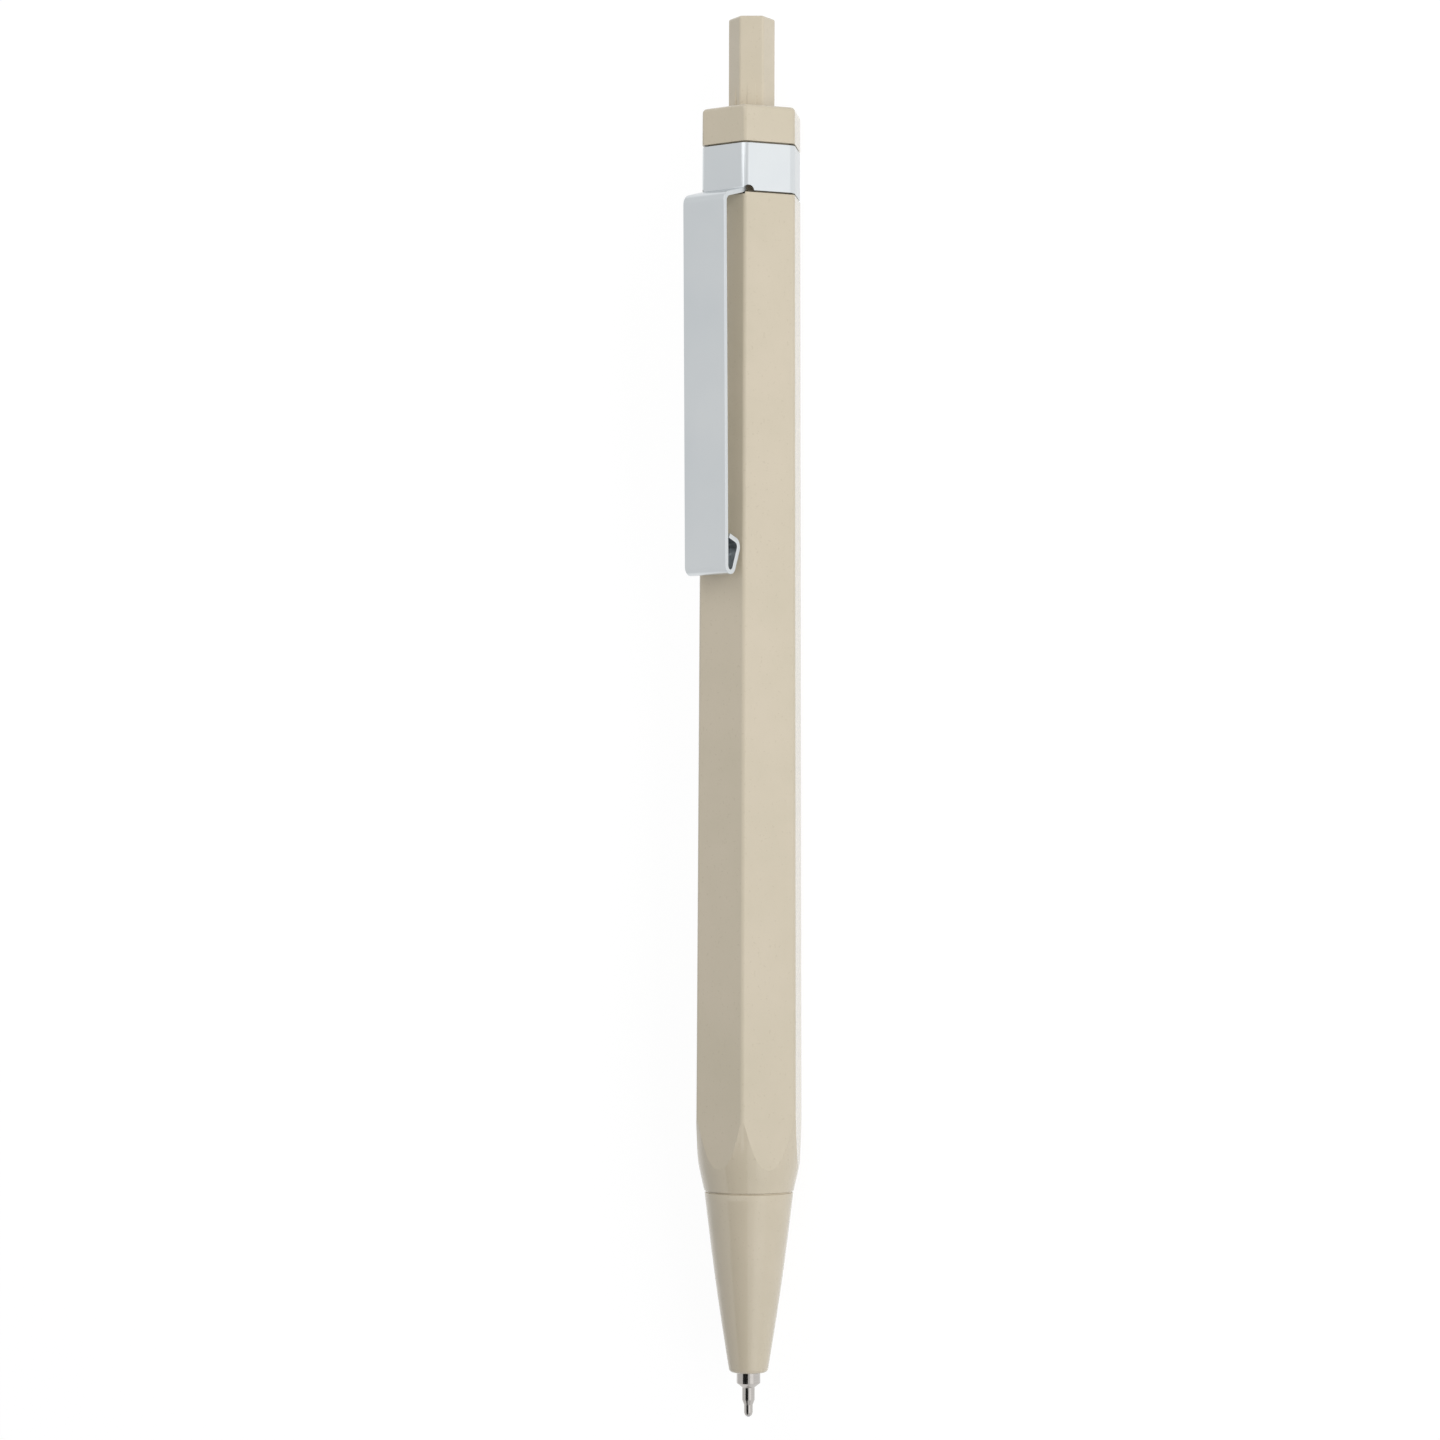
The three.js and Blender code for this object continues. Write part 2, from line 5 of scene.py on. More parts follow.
import bmesh
import bpy
from mathutils import Matrix, Vector


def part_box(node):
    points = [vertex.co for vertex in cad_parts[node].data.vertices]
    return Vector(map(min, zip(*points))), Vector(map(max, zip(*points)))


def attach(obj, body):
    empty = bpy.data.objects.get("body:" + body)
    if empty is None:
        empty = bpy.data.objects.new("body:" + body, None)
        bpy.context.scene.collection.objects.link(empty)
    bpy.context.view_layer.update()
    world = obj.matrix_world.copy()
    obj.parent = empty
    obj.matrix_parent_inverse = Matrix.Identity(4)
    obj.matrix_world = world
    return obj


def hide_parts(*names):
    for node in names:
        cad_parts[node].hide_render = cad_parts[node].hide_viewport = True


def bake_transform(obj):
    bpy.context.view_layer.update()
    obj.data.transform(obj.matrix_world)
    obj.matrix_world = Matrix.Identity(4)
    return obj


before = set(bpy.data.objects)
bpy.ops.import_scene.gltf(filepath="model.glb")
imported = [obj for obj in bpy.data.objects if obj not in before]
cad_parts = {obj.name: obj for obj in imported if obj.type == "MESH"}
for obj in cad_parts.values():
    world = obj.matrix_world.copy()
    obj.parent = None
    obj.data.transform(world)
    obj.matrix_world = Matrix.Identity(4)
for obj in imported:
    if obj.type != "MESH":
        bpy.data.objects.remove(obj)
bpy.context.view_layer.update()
print("Frame loaded with", len(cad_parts), "nodes")

mm = 0.001
touching = 0.001 * mm  # places that differ by less are the same place
cos30 = math.cos(math.radians(30))
tan30 = math.tan(math.radians(30))
fullTurn = 2 * math.pi

# Places that the frame gives
barrelLow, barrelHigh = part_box("barrel")
noseLow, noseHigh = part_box("nose_cone")
capLow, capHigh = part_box("top_cap")
buttonLow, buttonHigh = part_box("push_button")
ballLow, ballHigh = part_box("writing_ball")
springLow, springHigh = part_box("return_spring")
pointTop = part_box("point_body")[1].x
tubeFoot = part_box("refill_tube")[0].x
axisZ = (ballLow.z + ballHigh.z) / 2  # height of the pen's axis

# The six-sided shell that barrel, band and cap share
shell = {
    "flatsAtCap": 9.3 * mm,
    "flatsAtNose": 10.0 * mm,
    "seam": 0.15 * mm,  # open line between two shells
}
capTop = capHigh.x
noseTop = barrelLow.x - shell["seam"]
barrelTop = barrelHigh.x
bandFoot = barrelTop + shell["seam"]
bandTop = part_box("clip_band")[1].x
capFoot = bandTop + shell["seam"]
taper = (shell["flatsAtNose"] - shell["flatsAtCap"]) / 2 / (capTop - noseTop)


def flatAt(x):
    # half the width across the flats at a place along the pen
    return shell["flatsAtCap"] / 2 + (capTop - x) * taper


# Modelling helpers

def deselectAll():
    if bpy.context.object and bpy.context.object.mode != "OBJECT":
        bpy.ops.object.mode_set(mode="OBJECT")
    bpy.ops.object.select_all(action="DESELECT")


def makeActive(piece):
    deselectAll()
    piece.select_set(True)
    bpy.context.view_layer.objects.active = piece


def settle(piece):
    # puts the object's place into its mesh
    makeActive(piece)
    bpy.ops.object.transform_apply(location=True, rotation=True, scale=True)


def editMode(piece):
    makeActive(piece)
    bpy.ops.object.mode_set(mode="EDIT")
    bpy.ops.mesh.select_mode(type="VERT")


def objectMode():
    bpy.ops.object.mode_set(mode="OBJECT")


def pickVertices(piece, test):
    bpy.ops.mesh.select_mode(type="VERT")
    bpy.ops.mesh.select_all(action="DESELECT")
    mesh = bmesh.from_edit_mesh(piece.data)
    for vertex in mesh.verts:
        vertex.select_set(test(vertex.co))
    mesh.select_flush(True)
    bmesh.update_edit_mesh(piece.data)


def pickEdges(piece, test):
    bpy.ops.mesh.select_mode(type="EDGE")
    bpy.ops.mesh.select_all(action="DESELECT")
    mesh = bmesh.from_edit_mesh(piece.data)
    for edge in mesh.edges:
        if test(edge.verts[0].co, edge.verts[1].co):
            edge.select_set(True)
    bmesh.update_edit_mesh(piece.data)


def pickRims(piece, *places):
    # the edges across the pen at each of these places along it
    pickEdges(piece, lambda a, b: any(abs(a.x - x) < touching and abs(b.x - x) < touching for x in places))


def pickTopFace(piece):
    bpy.ops.mesh.select_mode(type="FACE")
    bpy.ops.mesh.select_all(action="DESELECT")
    mesh = bmesh.from_edit_mesh(piece.data)
    for face in mesh.faces:
        if face.normal.x > 0.9:  # faces the button's end
            face.select_set(True)
    bmesh.update_edit_mesh(piece.data)


def turnAboutPen(angle):
    # turns the whole mesh in edit mode
    bpy.ops.mesh.select_all(action="SELECT")
    bpy.ops.transform.rotate(value=angle, orient_axis="X", center_override=(0, 0, axisZ))


def addHexagon(name, foot, top, halfFoot, halfTop, cornerRadius, cornerSteps, turn=0.0):
    # six-sided solid along the pen, its long edges rounded
    deselectAll()
    middle = (foot + top) / 2
    bpy.ops.mesh.primitive_cylinder_add(
        vertices=6, radius=halfFoot / cos30, depth=top - foot,
        location=(middle, 0, axisZ), rotation=(0, math.pi / 2, 0),
    )
    piece = bpy.context.object
    piece.name = name
    settle(piece)
    editMode(piece)
    if turn:
        turnAboutPen(turn)
    pickVertices(piece, lambda co: co.x > middle)
    ratio = halfTop / halfFoot
    bpy.ops.transform.resize(value=(1, ratio, ratio), center_override=(top, 0, axisZ))
    pickEdges(piece, lambda a, b: abs(a.x - b.x) > (top - foot) / 2)
    bpy.ops.mesh.bevel(
        offset=cornerRadius * tan30, segments=cornerSteps, profile=0.5, affect="EDGES", clamp_overlap=False
    )
    objectMode()
    return piece


def addRound(name, foot, top, radiusFoot, radiusTop, sides=128):
    # round solid along the pen, straight or conical
    deselectAll()
    bpy.ops.mesh.primitive_cone_add(
        vertices=sides, radius1=radiusFoot, radius2=radiusTop, depth=top - foot,
        location=((foot + top) / 2, 0, axisZ), rotation=(0, math.pi / 2, 0),
    )
    piece = bpy.context.object
    piece.name = name
    settle(piece)
    return piece


def addSections(name, sections, sides):
    # round solid along the pen through (x, radius) sections
    x, radius = sections[1]
    piece = addRound(name, sections[0][0], x, sections[0][1], radius, sides)
    editMode(piece)
    pickTopFace(piece)
    for nextX, nextRadius in sections[2:]:
        bpy.ops.mesh.extrude_region_move(TRANSFORM_OT_translate={"value": (nextX - x, 0, 0)})
        ratio = nextRadius / radius
        bpy.ops.transform.resize(value=(1, ratio, ratio), center_override=(nextX, 0, axisZ))
        x, radius = nextX, nextRadius
    objectMode()
    return piece


def addOutline(name, corners):
    # one flat face along the pen from its closed outline of (x, distance from the axis) corners
    deselectAll()
    bpy.ops.mesh.primitive_plane_add(size=mm, location=(0, 0, 0))
    piece = bpy.context.object
    piece.name = name
    editMode(piece)
    bpy.ops.mesh.merge(type="CENTER")
    bpy.ops.mesh.select_all(action="SELECT")
    x, height = corners[0]
    bpy.ops.transform.translate(value=(x, 0, axisZ + height))
    for nextX, nextHeight in corners[1:]:
        move = (nextX - x, 0, nextHeight - height)
        bpy.ops.mesh.extrude_region_move(TRANSFORM_OT_translate={"value": move})
        x, height = nextX, nextHeight
    bpy.ops.mesh.select_all(action="SELECT")
    bpy.ops.mesh.edge_face_add()
    objectMode()
    return piece


def addTurned(name, profile, steps):
    # spins a closed profile of (x, radius) corners about the pen's axis
    piece = addOutline(name, profile)
    editMode(piece)
    bpy.ops.mesh.select_all(action="SELECT")
    bpy.ops.mesh.delete(type="ONLY_FACE")
    bpy.ops.mesh.select_all(action="SELECT")
    bpy.ops.mesh.spin(steps=steps, angle=fullTurn, center=(0, 0, axisZ), axis=(1, 0, 0))
    bpy.ops.mesh.select_all(action="SELECT")
    bpy.ops.mesh.remove_doubles(threshold=0.1 * touching)
    bpy.ops.mesh.normals_make_consistent(inside=False)
    objectMode()
    return piece


def applyModifier(piece, kind, **settings):
    makeActive(piece)
    modifier = piece.modifiers.new(kind.title(), kind)
    for key, value in settings.items():
        setattr(modifier, key, value)
    bpy.ops.object.modifier_apply(modifier=modifier.name)


def combine(piece, other, operation):
    # joins or cuts with another mesh, which is then removed
    applyModifier(piece, "BOOLEAN", object=other, operation=operation, solver="EXACT")
    bpy.data.objects.remove(other)


def softenEdges(piece, width, angle, segments=2):
    # rounds every edge that is sharper than the angle in degrees
    applyModifier(
        piece, "BEVEL", width=width, segments=segments, limit_method="ANGLE",
        angle_limit=math.radians(angle), use_clamp_overlap=True, harden_normals=False,
    )


def smoothFaces(piece, angle):
    # shades smooth up to the angle in degrees
    makeActive(piece)
    bpy.ops.object.shade_smooth_by_angle(angle=math.radians(angle))
    applyModifier(piece, "WEIGHTED_NORMAL", keep_sharp=True, weight=60)


def finishPiece(piece, material, body, slot, *replaced):
    piece.data.materials.clear()
    piece.data.materials.append(material)
    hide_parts(*replaced)
    if body:
        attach(piece, body)
    print("Made", piece.name, "with", len(piece.data.polygons), "faces")


# Materials

def screenColour(red, green, blue):
    # a colour as seen on screen, 0 to 255, as shader values
    channels = []
    for level in (red, green, blue):
        share = level / 255
        channels.append(share / 12.92 if share <= 0.04045 else ((share + 0.055) / 1.055) ** 2.4)
    return (*channels, 1.0)


def grey(level):
    return (level, level, level, 1)


def startMaterial(name, metallic=0.0):
    material = bpy.data.materials.new(name)
    material.use_nodes = True
    tree = material.node_tree
    shader = tree.nodes["Principled BSDF"]
    shader.inputs["Metallic"].default_value = metallic
    place = tree.nodes.new("ShaderNodeTexCoord")
    return material, tree, shader, place.outputs["Object"]


def addNoise(tree, place, scale, detail, stretch=(1, 1, 1)):
    mapping = tree.nodes.new("ShaderNodeMapping")
    mapping.inputs["Scale"].default_value = stretch
    noise = tree.nodes.new("ShaderNodeTexNoise")
    noise.inputs["Scale"].default_value = scale
    noise.inputs["Detail"].default_value = detail
    tree.links.new(place, mapping.inputs["Vector"])
    tree.links.new(mapping.outputs["Vector"], noise.inputs["Vector"])
    return noise.outputs["Fac"]


def addRange(tree, source, fromRange, toRange):
    remap = tree.nodes.new("ShaderNodeMapRange")
    remap.inputs["From Min"].default_value, remap.inputs["From Max"].default_value = fromRange
    remap.inputs["To Min"].default_value, remap.inputs["To Max"].default_value = toRange
    tree.links.new(source, remap.inputs["Value"])
    return remap.outputs["Result"]


def addMix(tree, factor, first, second):
    mix = tree.nodes.new("ShaderNodeMix")
    mix.data_type = "RGBA"
    for value, socket in ((first, mix.inputs["A"]), (second, mix.inputs["B"])):
        if isinstance(value, tuple):
            socket.default_value = value
        else:
            tree.links.new(value, socket)
    tree.links.new(factor, mix.inputs["Factor"])
    return mix.outputs["Result"]


def addBump(tree, source, shader, strength, distance):
    bump = tree.nodes.new("ShaderNodeBump")
    bump.inputs["Strength"].default_value = strength
    bump.inputs["Distance"].default_value = distance
    tree.links.new(source, bump.inputs["Height"])
    tree.links.new(bump.outputs["Normal"], shader.inputs["Normal"])


noiseMiddle = (0.3, 0.7)  # where most of a noise pattern's values lie


def patternedMaterial(name, values, metallic=0.0):
    # one noise pattern sets the colour between two tones, the gloss and, where it is given, the relief
    material, tree, shader, place = startMaterial(name, metallic)
    pattern = addNoise(tree, place, values["scale"], values["detail"], values.get("stretch", (1, 1, 1)))
    colour = addMix(tree, pattern, screenColour(*values["colour"]), screenColour(*values["shade"]))
    tree.links.new(colour, shader.inputs["Base Color"])
    tree.links.new(addRange(tree, pattern, noiseMiddle, values["roughness"]), shader.inputs["Roughness"])
    if "relief" in values:
        addBump(tree, pattern, shader, values["relief"], values["reliefDepth"])
    return material, tree, shader, place


def mouldedPlastic():
    # matte beige plastic: faint clouding of the melt, fine flecks, spark-eroded grain
    values = {
        "colour": (216, 204, 181), "cloud": (211, 200, 176), "fleck": (196, 183, 157),
        "cloudScale": 160, "cloudRange": (0.35, 0.7),
        "fleckScale": 3600, "fleckRange": (0.66, 0.74), "fleckShare": (0, 0.35),
        "grainScale": 7000, "grain": 0.25, "grainDepth": 0.012 * mm,
        "glossScale": 640, "roughness": (0.46, 0.54), "specular": 0.5, "coat": 1.0, "coatRoughness": 0.08,
    }
    material, tree, shader, place = startMaterial("mouldedPlastic")
    clouds = addNoise(tree, place, values["cloudScale"], detail=4)
    cloud = addRange(tree, clouds, values["cloudRange"], (0, 1))
    ground = addMix(tree, cloud, screenColour(*values["colour"]), screenColour(*values["cloud"]))
    flecks = addNoise(tree, place, values["fleckScale"], detail=1)
    fleck = addRange(tree, flecks, values["fleckRange"], values["fleckShare"])
    tree.links.new(addMix(tree, fleck, ground, screenColour(*values["fleck"])), shader.inputs["Base Color"])
    gloss = addNoise(tree, place, values["glossScale"], detail=3)
    tree.links.new(addRange(tree, gloss, noiseMiddle, values["roughness"]), shader.inputs["Roughness"])
    grain = addNoise(tree, place, values["grainScale"], detail=3)
    addBump(tree, grain, shader, values["grain"], values["grainDepth"])
    shader.inputs["Specular IOR Level"].default_value = values["specular"]
    shader.inputs["Coat Weight"].default_value = values["coat"]
    shader.inputs["Coat Roughness"].default_value = values["coatRoughness"]
    return material


def satinNickel():
    # nickel plate over brushed sheet: fine lines along the sheet, a soft gloss
    values = {
        "colour": (216, 220, 222), "shade": (210, 215, 218), "cloudScale": 90, "cloudRange": (0.35, 0.65),
        "lineScale": 5200, "lineStretch": (0.02, 1, 1), "roughness": (0.28, 0.31),
        "relief": 0.06, "reliefDepth": 0.004 * mm,
    }
    material, tree, shader, place = startMaterial("satinNickel", metallic=1.0)
    clouds = addNoise(tree, place, values["cloudScale"], detail=3)
    cloud = addRange(tree, clouds, values["cloudRange"], (0, 1))
    colour = addMix(tree, cloud, screenColour(*values["colour"]), screenColour(*values["shade"]))
    tree.links.new(colour, shader.inputs["Base Color"])
    lines = addNoise(tree, place, values["lineScale"], detail=2, stretch=values["lineStretch"])
    tree.links.new(addRange(tree, lines, noiseMiddle, values["roughness"]), shader.inputs["Roughness"])
    addBump(tree, lines, shader, values["relief"], values["reliefDepth"])
    return material


def turnedNickelSilver():
    # polished point with fine rings from the lathe
    values = {
        "colour": (198, 194, 190), "shade": (182, 178, 174), "scale": 9000, "detail": 2,
        "stretch": (1, 0.02, 0.02), "roughness": (0.1, 0.18), "relief": 0.15, "reliefDepth": 0.003 * mm,
    }
    return patternedMaterial("turnedNickelSilver", values, metallic=1.0)[0]


def groundCarbide():
    # fine grains of the ball
    values = {
        "colour": (150, 150, 154), "shade": (182, 182, 186), "scale": 24000, "detail": 2,
        "roughness": (0.15, 0.3),
    }
    return patternedMaterial("groundCarbide", values, metallic=1.0)[0]


def drawnWire():
    # spring steel with streaks from the die
    values = {
        "colour": (196, 198, 202), "shade": (218, 220, 222), "scale": 3000, "detail": 3,
        "stretch": (3, 1, 1), "roughness": (0.2, 0.32), "relief": 0.1, "reliefDepth": 0.004 * mm,
    }
    return patternedMaterial("drawnWire", values, metallic=1.0)[0]


def naturalAcetal():
    # waxy white inner mouldings with faint flow marks
    values = {
        "colour": (238, 236, 229), "shade": (228, 226, 217), "scale": 260, "detail": 3,
        "stretch": (0.4, 1, 1), "roughness": (0.34, 0.46), "grainScale": 5000, "grain": 0.15,
        "grainDepth": 0.008 * mm, "waxiness": 0.15, "lightReach": (0.8 * mm, 0.7 * mm, 0.6 * mm),
    }
    material, tree, shader, place = patternedMaterial("naturalAcetal", values)
    grain = addNoise(tree, place, values["grainScale"], detail=2)
    addBump(tree, grain, shader, values["grain"], values["grainDepth"])
    shader.inputs["Subsurface Weight"].default_value = values["waxiness"]
    shader.inputs["Subsurface Radius"].default_value = values["lightReach"]
    return material


def extrudedTube():
    # translucent tube with die lines along it
    values = {
        "colour": (240, 242, 243), "shade": (229, 233, 236), "scale": 2600, "detail": 2,
        "stretch": (0.01, 1, 1), "roughness": (0.15, 0.25), "relief": 0.1, "reliefDepth": 0.006 * mm,
        "clearness": 0.7, "ior": 1.45,
    }
    material, _, shader, _ = patternedMaterial("extrudedTube", values)
    shader.inputs["Transmission Weight"].default_value = values["clearness"]
    shader.inputs["IOR"].default_value = values["ior"]
    return material


def blueInk():
    # thick ink, a little uneven
    values = {
        "colour": (22, 34, 96), "shade": (32, 52, 138), "scale": 500, "detail": 4, "roughness": (0.08, 0.18),
    }
    return patternedMaterial("blueInk", values)[0]


def followerGrease():
    # clear pale grease with swirls
    values = {
        "colour": (226, 220, 196), "shade": (212, 205, 180), "scale": 900, "detail": 4,
        "roughness": (0.22, 0.36), "relief": 0.2, "reliefDepth": 0.03 * mm,
    }
    return patternedMaterial("followerGrease", values)[0]


plastic = mouldedPlastic()
nickel = satinNickel()
pointMetal = turnedNickelSilver()
carbide = groundCarbide()
wireSteel = drawnWire()
acetal = naturalAcetal()
tubePlastic = extrudedTube()
ink = blueInk()
grease = followerGrease()
print("Materials made")


# Camera: the photograph's view, square, with the pen upright in it

def makeCamera():
    # angles in degrees, frame side and place of the axis in the frame's pixels
    values = {
        "distance": 0.403, "sensor": 36.0, "frameSide": 1440, "pixelsPerMetre": 9987.0,
        "elevation": 52.8, "fromPointSide": 1.68, "lean": 0.155,
        "middleX": -0.56 * mm, "axisRightOfMiddle": 30.1, "nearest": 0.01, "furthest": 20,
    }
    elevation, pitch = math.radians(values["elevation"]), math.radians(values["fromPointSide"])
    across = Vector((0, -math.cos(elevation), math.sin(elevation)))
    back = across * math.cos(pitch) - Vector((1, 0, 0)) * math.sin(pitch)
    along = Vector((1, 0, 0)) * math.cos(pitch) + across * math.sin(pitch)
    lean = math.radians(values["lean"])
    up = along * math.cos(lean) - (-back).cross(along) * math.sin(lean)
    right = (-back).cross(up)
    target = Vector((values["middleX"], 0, axisZ))
    target -= right * values["axisRightOfMiddle"] / values["pixelsPerMetre"]
    data = bpy.data.cameras.new("camera")
    data.sensor_width = values["sensor"]
    data.lens = values["sensor"] * values["distance"] * values["pixelsPerMetre"] / values["frameSide"]
    data.clip_start, data.clip_end = values["nearest"], values["furthest"]
    camera = bpy.data.objects.new("camera", data)
    bpy.context.scene.collection.objects.link(camera)
    turn = Matrix((right, up, back)).transposed().to_4x4()
    camera.matrix_world = Matrix.Translation(target + back * values["distance"]) @ turn
    bpy.context.scene.camera = camera


makeCamera()
print("Camera set")


# Floor, lights and world

def seenOrMirrored(tree):
    # 1 for rays that the camera, metal or glass sends out, 0 for those that light a matte surface
    path = tree.nodes.new("ShaderNodeLightPath")
    seen = path.outputs["Is Camera Ray"]
    for other in ("Is Glossy Ray", "Is Transmission Ray"):
        either = tree.nodes.new("ShaderNodeMath")
        either.operation = "MAXIMUM"
        tree.links.new(seen, either.inputs[0])
        tree.links.new(path.outputs[other], either.inputs[1])
        seen = either.outputs["Value"]
    return seen


def addBlend(tree, factor, first, second, output):
    # mixes two shaders into the material's or the world's output
    blend = tree.nodes.new("ShaderNodeMixShader")
    tree.links.new(factor, blend.inputs["Fac"])
    tree.links.new(first, blend.inputs[1])
    tree.links.new(second, blend.inputs[2])
    tree.links.new(blend.outputs["Shader"], tree.nodes[output].inputs["Surface"])


def makeFloor():
    # white where it is seen or mirrored, but for the share that keeps the pen's shadow
    values = {"size": 6.0, "albedo": 0.8, "seenWhite": 1.14, "shadowShare": 0.2}
    deselectAll()
    bpy.ops.mesh.primitive_plane_add(size=values["size"], location=(0, 0, 0))
    floor = bpy.context.object
    floor.name = "floor"
    material = bpy.data.materials.new("paleFloor")
    material.use_nodes = True
    tree = material.node_tree
    tree.nodes.remove(tree.nodes["Principled BSDF"])
    matte = tree.nodes.new("ShaderNodeBsdfDiffuse")
    matte.inputs["Color"].default_value = grey(values["albedo"])
    glow = tree.nodes.new("ShaderNodeEmission")
    glow.inputs["Strength"].default_value = values["seenWhite"]
    share = addRange(tree, seenOrMirrored(tree), (0, 1), (0, 1 - values["shadowShare"]))
    addBlend(tree, share, matte.outputs["BSDF"], glow.outputs["Emission"], "Material Output")
    floor.data.materials.append(material)


def addSoftbox(name, azimuth, elevation, distance, width, height, radiance):
    # rectangular light that faces the pen; azimuth 0 is the photographer's side
    turn, lift = math.radians(azimuth), math.radians(elevation)
    away = Vector((math.sin(turn) * math.cos(lift), -math.cos(turn) * math.cos(lift), math.sin(lift)))
    data = bpy.data.lights.new(name, "AREA")
    data.shape = "RECTANGLE"
    data.size, data.size_y = width, height
    data.energy = radiance * math.pi * width * height
    light = bpy.data.objects.new(name, data)
    bpy.context.scene.collection.objects.link(light)
    facing = away.to_track_quat("Z", "Y").to_matrix().to_4x4()
    light.matrix_world = Matrix.Translation(away * distance) @ facing
    return light


def makeLights():
    # azimuth and elevation in degrees, distance, width and height in metres, radiance
    values = {
        "front": (0, 26, 0.8, 1.0, 0.36, 2.95),
        "mirrored": (0, 20, 0.8, 1.0, 0.5, 0.48),  # stands in for the front one in metal and gloss
        "back": (160, 10, 0.8, 0.8, 0.3, 0.9),
        "end": (90, 45, 0.3, 0.2, 0.2, 0.8),
    }
    addSoftbox("frontSoftbox", *values["front"]).visible_glossy = False
    addSoftbox("mirroredSoftbox", *values["mirrored"]).visible_diffuse = False
    addSoftbox("backSoftbox", *values["back"]).visible_glossy = False
    addSoftbox("endSoftbox", *values["end"])
    bpy.context.scene.view_settings.view_transform = "Standard"


def makeWorld():
    # lights the pen evenly, is white where it is seen and pale where metal mirrors it
    values = {"colour": (0.985, 0.99, 1.0, 1), "light": 0.43, "seenWhite": 1.0, "mirroredWhite": 0.8}
    world = bpy.data.worlds.new("studio")
    bpy.context.scene.world = world
    world.use_nodes = True
    tree = world.node_tree
    light = tree.nodes["Background"]
    light.inputs["Color"].default_value = values["colour"]
    light.inputs["Strength"].default_value = values["light"]
    white = tree.nodes.new("ShaderNodeBackground")
    white.inputs["Color"].default_value = grey(1)
    path = tree.nodes.new("ShaderNodeLightPath")
    whites = (values["mirroredWhite"], values["seenWhite"])
    tree.links.new(addRange(tree, path.outputs["Is Camera Ray"], (0, 1), whites), white.inputs["Strength"])
    first, second = light.outputs["Background"], white.outputs["Background"]
    addBlend(tree, seenOrMirrored(tree), first, second, "World Output")


def makeShadeCard():
    # black card above the point: the dark line in its metal, and a little less light on the nose
    values = {
        "middle": (-96 * mm, -8 * mm, 62 * mm), "length": 70 * mm, "width": 58 * mm,
        "albedo": 0.02, "roughness": 0.9,
    }
    deselectAll()
    bpy.ops.mesh.primitive_plane_add(size=1, location=values["middle"])
    card = bpy.context.object
    card.name = "shadeCard"
    card.scale = (values["length"], values["width"], 1)
    settle(card)
    card.visible_camera = False
    material = bpy.data.materials.new("blackCard")
    material.use_nodes = True
    shader = material.node_tree.nodes["Principled BSDF"]
    shader.inputs["Base Color"].default_value = grey(values["albedo"])
    shader.inputs["Roughness"].default_value = values["roughness"]
    card.data.materials.append(material)


makeFloor()
makeLights()
makeWorld()
makeShadeCard()
print("Floor and lights set")


# Barrel

def makeBarrel():
    values = {
        "corner": 0.5 * mm, "cornerSteps": 8, "bore": 3.6 * mm, "footRadius": 4.4745 * mm, "coneSides": 192,
        "rimSlope": 0.23, "coneSlope": 0.13, "rimLength": 2.6 * mm, "blendLength": 2.4 * mm, "blendSteps": 8,
        "endEdge": 0.06 * mm, "over": 1 * mm,
        "recessDepth": 0.2 * mm, "recessIn": 0.7 * mm, "recessWidth": 5.3 * mm,
    }
    foot, over, bore = barrelLow.x, values["over"], values["bore"]
    barrel = addHexagon(
        "barrelShell", foot, barrelTop, flatAt(foot), flatAt(barrelTop),
        values["corner"], values["cornerSteps"],
    )
    # the cone that takes the corners off, steeper at the seam, its slope easing over the blend
    rimSlope, coneSlope, blend = values["rimSlope"], values["coneSlope"], values["blendLength"]
    blendFoot = values["rimLength"] - blend / 2
    radius = values["footRadius"] + blendFoot * rimSlope
    sections = [(foot - over, values["footRadius"] - over * rimSlope), (foot + blendFoot, radius)]
    for step in range(1, values["blendSteps"] + 1):
        past = blend * step / values["blendSteps"]
        ease = (rimSlope - coneSlope) * past * past / blend / 2
        sections.append((foot + blendFoot + past, radius + past * rimSlope - ease))
    lastX, lastRadius = sections[-1]
    widest = shell["flatsAtNose"]
    sections.append((lastX + (widest - lastRadius) / coneSlope, widest))
    sections.append((barrelTop + over, widest))
    combine(barrel, addSections("coneCut", sections, values["coneSides"]), "INTERSECT")
    combine(barrel, addRound("boreCut", foot - over, barrelTop + over, bore, bore), "DIFFERENCE")
    # recess under the clip's shoulder
    recessFloor, recessSide = barrelTop - values["recessDepth"], flatAt(barrelTop) - values["recessIn"]
    deselectAll()
    recessMiddle = (recessFloor + over, 0, axisZ + recessSide + over)
    bpy.ops.mesh.primitive_cube_add(size=2 * over, location=recessMiddle)
    recess = bpy.context.object
    recess.scale = (1, values["recessWidth"] / (2 * over), 1)
    settle(recess)
    combine(barrel, recess, "DIFFERENCE")
    editMode(barrel)
    pickRims(barrel, foot, barrelTop)
    bpy.ops.mesh.bevel(offset=values["endEdge"], segments=2, affect="EDGES")
    objectMode()
    smoothFaces(barrel, angle=8.5)
    finishPiece(barrel, plastic, "casing", "shell_plastic", "barrel")


makeBarrel()


# Nose cone

